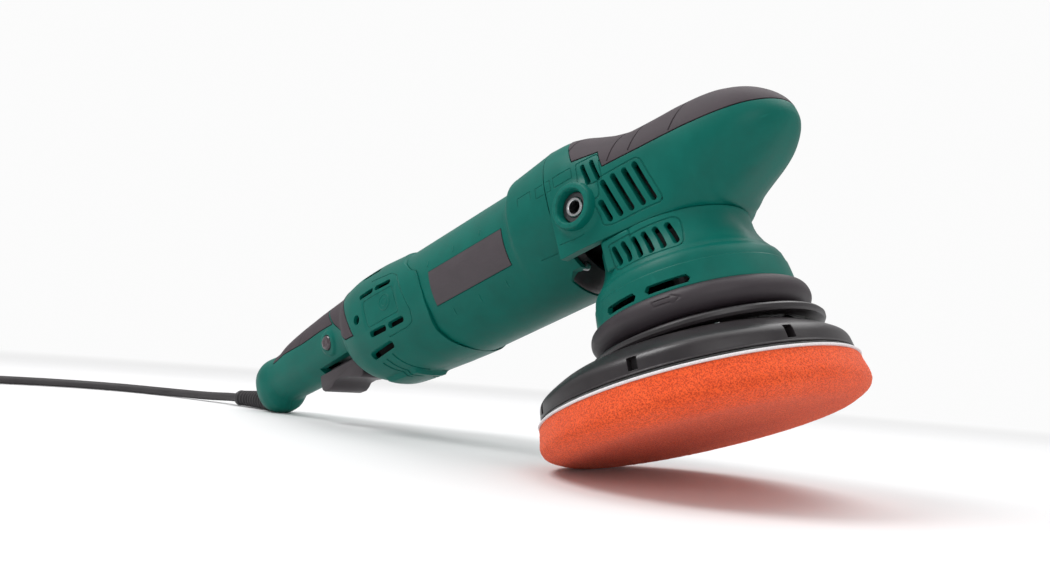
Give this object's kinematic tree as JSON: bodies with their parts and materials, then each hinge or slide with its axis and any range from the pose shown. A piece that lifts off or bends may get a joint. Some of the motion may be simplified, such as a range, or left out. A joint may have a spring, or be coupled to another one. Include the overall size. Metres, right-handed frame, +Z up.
{
  "type": "dual-action polisher",
  "caption": "Corded dual-action polisher with bow rear handle, trigger, inline motor tube, bevel gear head with soft palm grip and an orbiting hook-and-loop foam pad.",
  "frame": {"origin": "centre of the underside of the tool's bounding box, leaving the cord out, on the surface that it rests on", "axes": "+X level and forward from the rear handle to the head, +Y to the tool's left, +Z up"},
  "size_m": [0.6941, 0.4091, 0.1842],
  "materials": {
    "green_plastic": "satin, finely grained glass-filled nylon",
    "soft_grip_rubber": "matt soft-touch overmould",
    "bumper_rubber": "smooth semi-matt",
    "black_plastic": "satin moulded",
    "label_film": "matt printed film, left blank",
    "cord_rubber": "matt sheath",
    "orange_foam": "open-cell polyurethane foam",
    "white_velour": "looped velour",
    "hook_tape": "hook tape",
    "steel": "machined",
    "blackened_steel": "blackened",
    "dark_cast_alloy": "die cast, dark coated",
    "copper_winding": "enamelled copper",
    "carbon": "matt carbon",
    "plug_brass": "nickel plated"
  },
  "bodies": {
    "housing": {"rear_handle_left": "green_plastic", "rear_handle_right": "green_plastic", "handle_soft_inlay": "soft_grip_rubber", "neck_soft_band": "soft_grip_rubber", "switch_body": "black_plastic", "speed_module": "black_plastic", "cord_clamp": "black_plastic", "handle_screw_front": "blackened_steel", "handle_screw_rear": "blackened_steel", "motor_housing": "green_plastic", "label_plate": "label_film", "rating_plate": "label_film", "head_cover_upper": "green_plastic", "palm_soft_grip": "soft_grip_rubber", "head_cover_lower": "green_plastic", "bumper_ring": "bumper_rubber", "guard_ring": "black_plastic", "gear_case": "dark_cast_alloy", "bearing_plate": "dark_cast_alloy", "bearing_plate_screw_1": "steel", "bearing_plate_screw_2": "steel", "side_handle_socket_left": "blackened_steel", "side_handle_socket_right": "blackened_steel", "spindle_needle_bearing": "steel", "spindle_ball_bearing": "steel", "stator_core": "blackened_steel", "field_coil_upper": "copper_winding", "field_coil_lower": "copper_winding", "armature_rear_bearing": "steel", "armature_front_bearing": "steel", "brush_bracket": "black_plastic", "carbon_brush_left": "carbon", "carbon_brush_right": "carbon", "cord_boot": "cord_rubber", "power_cord": "cord_rubber", "cord_coil": "cord_rubber", "plug_lead": "cord_rubber", "plug_body": "cord_rubber", "plug_pin_1": "plug_brass", "plug_pin_2": "plug_brass"},
    "spindle": {"bevel_gear": "steel", "spindle": "steel", "eccentric_counterweight": "blackened_steel", "pad_bearing": "steel"},
    "pad": {"pad_spindle": "steel", "backing_plate": "black_plastic", "pad_bolt": "blackened_steel", "hook_layer": "hook_tape", "pad_backing": "white_velour", "foam_pad": "orange_foam"},
    "armature": {"armature_shaft": "steel", "bevel_pinion": "steel", "armature_core": "copper_winding", "commutator": "copper_winding", "cooling_fan": "black_plastic"},
    "trigger": {"trigger": "black_plastic"},
    "lock_button": {"lock_button": "black_plastic"},
    "speed_dial": {"speed_dial": "black_plastic"}
  },
  "joints": [
    {"name": "spindle_spin", "type": "hinge", "parent": "housing", "child": "spindle", "pos_m": [0.14486, 0.00393, 0.09921], "axis": [-0.3575, 0, 0.9339], "continuous": true},
    {"name": "armature_spin", "type": "hinge", "parent": "housing", "child": "armature", "pos_m": [0.07238, 0.00393, 0.12072], "axis": [0.9339, 0, 0.3575], "continuous": true},
    {"name": "pad_spin", "type": "hinge", "parent": "spindle", "child": "pad", "pos_m": [0.15007, 0, 0.05838], "axis": [-0.3575, 0, 0.9339], "continuous": true},
    {"name": "trigger_pull", "type": "hinge", "parent": "housing", "child": "trigger", "pos_m": [-0.09201, 0.00393, 0.04387], "axis": [0, 1, 0], "range_deg": [0, 7], "stiffness_Nm_per_rad": 0.3, "springref_deg": -6.88},
    {"name": "lock_press", "type": "slide", "parent": "housing", "child": "lock_button", "axis": [0, 1, 0], "range_m": [0, 0.0025], "stiffness_N_per_m": 300, "springref_m": -0.002},
    {"name": "speed_dial_turn", "type": "hinge", "parent": "housing", "child": "speed_dial", "pos_m": [-0.07667, 0.03493, 0.07651], "axis": [-0.3575, 0, 0.9339], "range_deg": [0, 270]}
  ],
  "couplings": [
    {"joint": "armature_spin", "follows": "spindle_spin", "ratio": -4}
  ]
}
